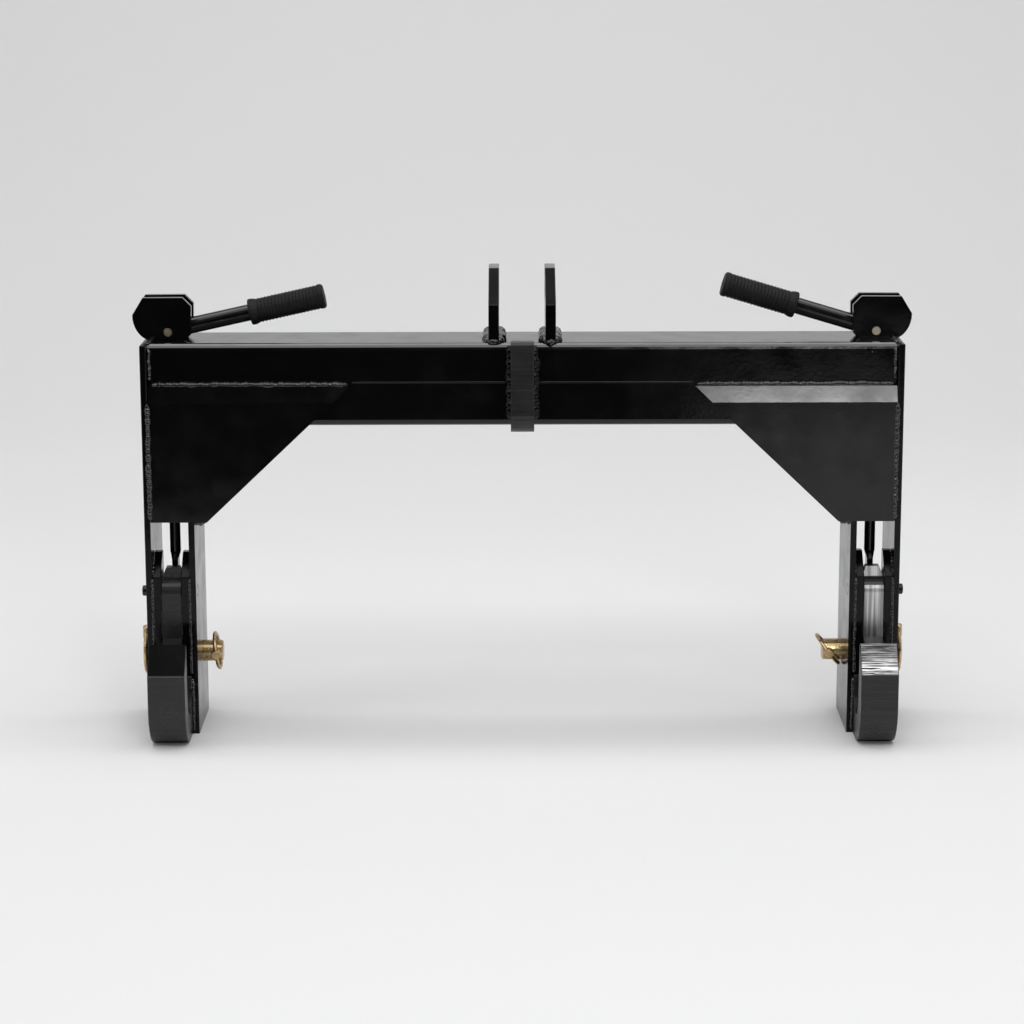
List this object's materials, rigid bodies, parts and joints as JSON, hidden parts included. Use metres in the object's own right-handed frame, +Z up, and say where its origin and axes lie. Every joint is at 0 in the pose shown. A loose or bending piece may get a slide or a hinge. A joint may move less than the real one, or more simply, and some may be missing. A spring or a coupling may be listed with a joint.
{
  "type": "three point quick hitch",
  "caption": "Tractor quick hitch frame: square beam, two legs with throat hooks and sprung latches worked by cam levers, a top hook, link ears and pins held by ring clips.",
  "frame": {"origin": "on the floor under the middle of the hitch's bounding box", "axes": "+Z up, -Y towards the implement and the hooks' open side, +X to the right as seen from the implement"},
  "size_m": [0.7538, 0.174, 0.4486],
  "materials": {
    "black_paint": "gloss black paint",
    "satin_paint": "thin black paint over flame-cut edges, rubbed through on the ramps",
    "yellow_zinc": "yellow zinc plate",
    "spring_steel": "dark oiled steel",
    "black_rubber": "ribbed matte rubber"
  },
  "bodies": {
    "frame": {"beam": "black_paint", "left_top_ear": "black_paint", "right_top_ear": "black_paint", "top_hook": "satin_paint", "left_outer_leg_plate": "black_paint", "left_inner_leg_plate": "black_paint", "left_gusset": "black_paint", "left_lower_hook": "satin_paint", "left_outer_guide": "black_paint", "left_inner_guide": "black_paint", "left_pivot_pin": "black_paint", "left_hitch_pin": "yellow_zinc", "left_inner_linch": "yellow_zinc", "left_outer_linch": "yellow_zinc", "right_outer_leg_plate": "black_paint", "right_inner_leg_plate": "black_paint", "right_gusset": "black_paint", "right_lower_hook": "satin_paint", "right_outer_guide": "black_paint", "right_inner_guide": "black_paint", "right_pivot_pin": "black_paint", "right_hitch_pin": "yellow_zinc", "right_inner_linch": "yellow_zinc", "right_outer_linch": "yellow_zinc"},
    "left_rod": {"left_lift_rod": "black_paint", "left_spring": "spring_steel", "left_spring_washer": "spring_steel", "left_stop_pin": "spring_steel"},
    "left_lever": {"left_front_cam": "black_paint", "left_rear_cam": "black_paint", "left_lever_bar": "black_paint", "left_grip": "black_rubber", "left_lever_pin": "yellow_zinc"},
    "left_latch": {"left_latch": "satin_paint", "left_cross_pin": "spring_steel"},
    "left_inner_ring": {"left_inner_linch_ring": "yellow_zinc"},
    "left_outer_ring": {"left_outer_linch_ring": "yellow_zinc"},
    "right_rod": {"right_lift_rod": "black_paint", "right_spring": "spring_steel", "right_spring_washer": "spring_steel", "right_stop_pin": "spring_steel"},
    "right_lever": {"right_front_cam": "black_paint", "right_rear_cam": "black_paint", "right_lever_bar": "black_paint", "right_grip": "black_rubber", "right_lever_pin": "yellow_zinc"},
    "right_latch": {"right_latch": "satin_paint", "right_cross_pin": "spring_steel"},
    "right_inner_ring": {"right_inner_linch_ring": "yellow_zinc"},
    "right_outer_ring": {"right_outer_linch_ring": "yellow_zinc"}
  },
  "joints": [
    {"name": "left_lever_turn", "type": "hinge", "parent": "left_rod", "child": "left_lever", "pos_m": [-0.3408, 0.0215, 0.392], "axis": [0, -1, 0], "range_deg": [0, 90]},
    {"name": "left_rod_lift", "type": "slide", "parent": "frame", "child": "left_rod", "axis": [0, 0, 1], "range_m": [0, 0.0264], "stiffness_N_per_m": 800, "springref_m": -0.012, "deforming": ["left_spring"]},
    {"name": "left_latch_swing", "type": "hinge", "parent": "frame", "child": "left_latch", "pos_m": [-0.3408, -0.011, 0.141], "axis": [1, 0, 0], "range_deg": [0, 44.2]},
    {"name": "left_outer_ring_swing", "type": "hinge", "parent": "frame", "child": "left_outer_ring", "pos_m": [-0.3722, 0.035, 0.08975], "axis": [0, 1, 0], "range_deg": [0, 120]},
    {"name": "left_inner_ring_swing", "type": "hinge", "parent": "frame", "child": "left_inner_ring", "pos_m": [-0.3033, 0.01745, 0.0685], "axis": [0.1392, 0, -0.9903], "range_deg": [0, 120]},
    {"name": "right_lever_turn", "type": "hinge", "parent": "right_rod", "child": "right_lever", "pos_m": [0.3408, 0.0215, 0.392], "axis": [0, 1, 0], "range_deg": [0, 90]},
    {"name": "right_rod_lift", "type": "slide", "parent": "frame", "child": "right_rod", "axis": [0, 0, 1], "range_m": [0, 0.0264], "stiffness_N_per_m": 800, "springref_m": -0.012, "deforming": ["right_spring"]},
    {"name": "right_latch_swing", "type": "hinge", "parent": "frame", "child": "right_latch", "pos_m": [0.3408, -0.011, 0.141], "axis": [1, 0, 0], "range_deg": [0, 44.2]},
    {"name": "right_outer_ring_swing", "type": "hinge", "parent": "frame", "child": "right_outer_ring", "pos_m": [0.3722, 0.035, 0.08975], "axis": [0, -1, 0], "range_deg": [0, 120]},
    {"name": "right_inner_ring_swing", "type": "hinge", "parent": "frame", "child": "right_inner_ring", "pos_m": [0.3033, 0.01745, 0.0685], "axis": [-0.6157, 0, 0.788], "range_deg": [0, 120]}
  ],
  "couplings": [
    {"joint": "left_rod_lift", "follows": "left_lever_turn", "m_per_rad": 0.016743},
    {"joint": "left_latch_swing", "follows": "left_lever_turn", "ratio": 0.489},
    {"joint": "right_rod_lift", "follows": "right_lever_turn", "m_per_rad": 0.016743},
    {"joint": "right_latch_swing", "follows": "right_lever_turn", "ratio": 0.489}
  ]
}
